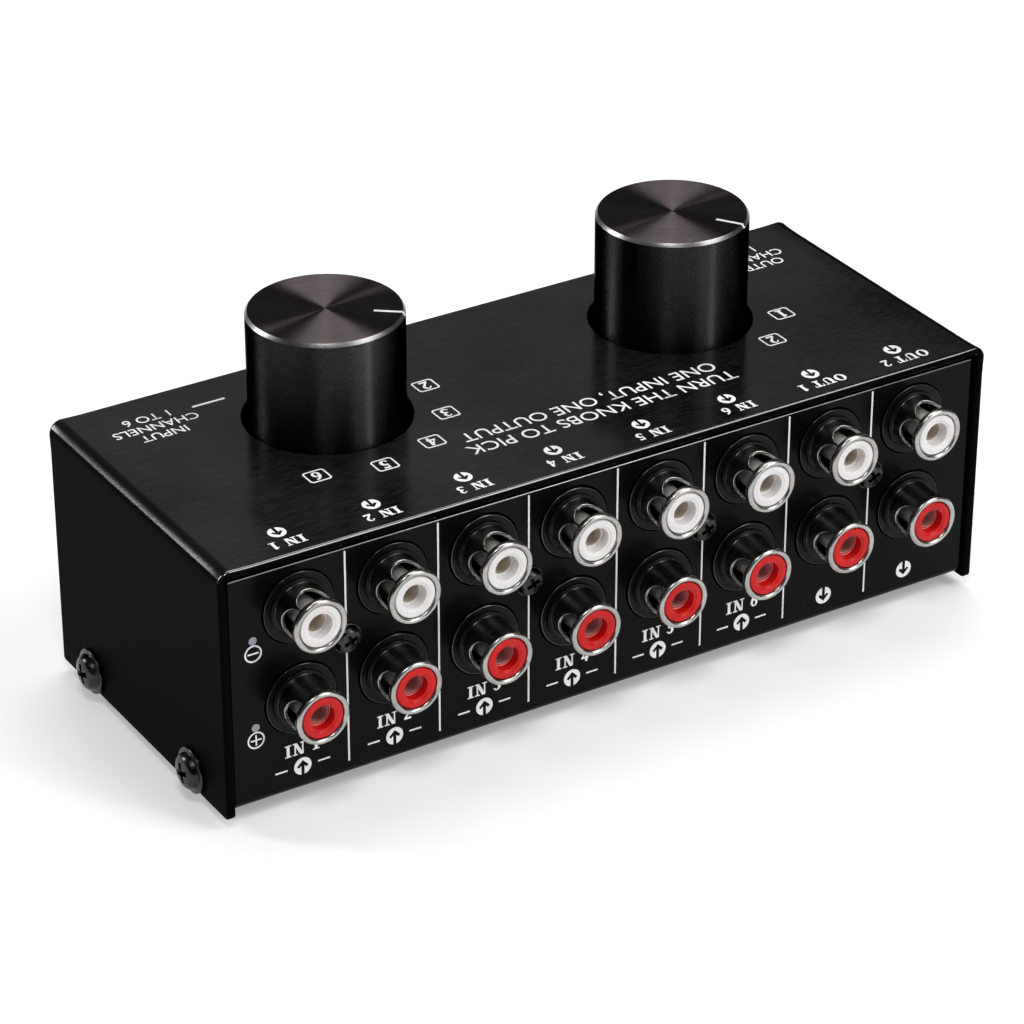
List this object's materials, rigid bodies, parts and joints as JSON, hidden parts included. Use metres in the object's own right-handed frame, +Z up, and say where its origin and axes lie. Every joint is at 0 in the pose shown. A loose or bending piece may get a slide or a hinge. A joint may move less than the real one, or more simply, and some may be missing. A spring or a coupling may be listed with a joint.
{
  "type": "audio source selector",
  "caption": "Black folded-metal audio source selector: two rows of phono jacks on one long face and two sunk round knobs on top that pick the input and the output.",
  "frame": {"origin": "middle of the part's footprint, on the surface that the feet stand on", "axes": "+Z up, +X along the jack panel to the right as the jacks are faced, the jacks point to -Y"},
  "size_m": [0.1442, 0.0624, 0.064],
  "materials": {
    "cover_paint": "fine-textured satin black coat on folded sheet",
    "chassis_paint": "satin black coat with white print",
    "black_screw": "black oxide, glossy",
    "foot_rubber": "matte moulded",
    "board_laminate": "green solder mask",
    "brass": "turned",
    "zinc_steel": "zinc plated",
    "tinned_pins": "tinned",
    "block_plastic": "moulded black, satin",
    "nickel": "bright nickel plate",
    "insert_white": "moulded",
    "insert_red": "moulded",
    "switch_phenolic": "moulded",
    "rotor_plastic": "moulded",
    "shaft_aluminium": "turned",
    "knob_anodised": "black anodised, spun top, polished bevel"
  },
  "bodies": {
    "housing": {"top_cover": "cover_paint", "chassis": "chassis_paint", "cover_screws": "black_screw", "rubber_feet": "foot_rubber", "jack_block_screws": "black_screw", "circuit_board": "board_laminate", "board_standoffs": "brass", "board_screws": "zinc_steel", "jack_contacts": "brass", "input_switch_base": "switch_phenolic", "input_switch_frame": "zinc_steel", "input_switch_pins": "tinned_pins", "output_switch_base": "switch_phenolic", "output_switch_frame": "zinc_steel", "output_switch_pins": "tinned_pins", "jack_block_1": "block_plastic", "jack_block_2": "block_plastic", "jack_block_3": "block_plastic", "jack_block_4": "block_plastic", "jack_shell_in_1_white": "nickel", "jack_shell_in_1_red": "nickel", "jack_shell_in_2_white": "nickel", "jack_shell_in_2_red": "nickel", "jack_shell_in_3_white": "nickel", "jack_shell_in_3_red": "nickel", "jack_shell_in_4_white": "nickel", "jack_shell_in_4_red": "nickel", "jack_shell_in_5_white": "nickel", "jack_shell_in_5_red": "nickel", "jack_shell_in_6_white": "nickel", "jack_shell_in_6_red": "nickel", "jack_shell_out_1_white": "nickel", "jack_shell_out_1_red": "nickel", "jack_shell_out_2_white": "nickel", "jack_shell_out_2_red": "nickel", "jack_insert_in_1_white": "insert_white", "jack_insert_in_1_red": "insert_red", "jack_insert_in_2_white": "insert_white", "jack_insert_in_2_red": "insert_red", "jack_insert_in_3_white": "insert_white", "jack_insert_in_3_red": "insert_red", "jack_insert_in_4_white": "insert_white", "jack_insert_in_4_red": "insert_red", "jack_insert_in_5_white": "insert_white", "jack_insert_in_5_red": "insert_red", "jack_insert_in_6_white": "insert_white", "jack_insert_in_6_red": "insert_red", "jack_insert_out_1_white": "insert_white", "jack_insert_out_1_red": "insert_red", "jack_insert_out_2_white": "insert_white", "jack_insert_out_2_red": "insert_red"},
    "input_control": {"input_rotor": "rotor_plastic", "input_shaft": "shaft_aluminium", "input_knob": "knob_anodised", "input_set_screw": "black_screw"},
    "output_control": {"output_rotor": "rotor_plastic", "output_shaft": "shaft_aluminium", "output_knob": "knob_anodised", "output_set_screw": "black_screw"}
  },
  "joints": [
    {"name": "input_selector", "type": "hinge", "parent": "housing", "child": "input_control", "pos_m": [-0.0316, 0.01075, 0.045], "axis": [0, 0, 1], "range_deg": [-90, 60]},
    {"name": "output_selector", "type": "hinge", "parent": "housing", "child": "output_control", "pos_m": [0.0327, 0.01075, 0.045], "axis": [0, 0, 1], "range_deg": [0, 30]}
  ]
}
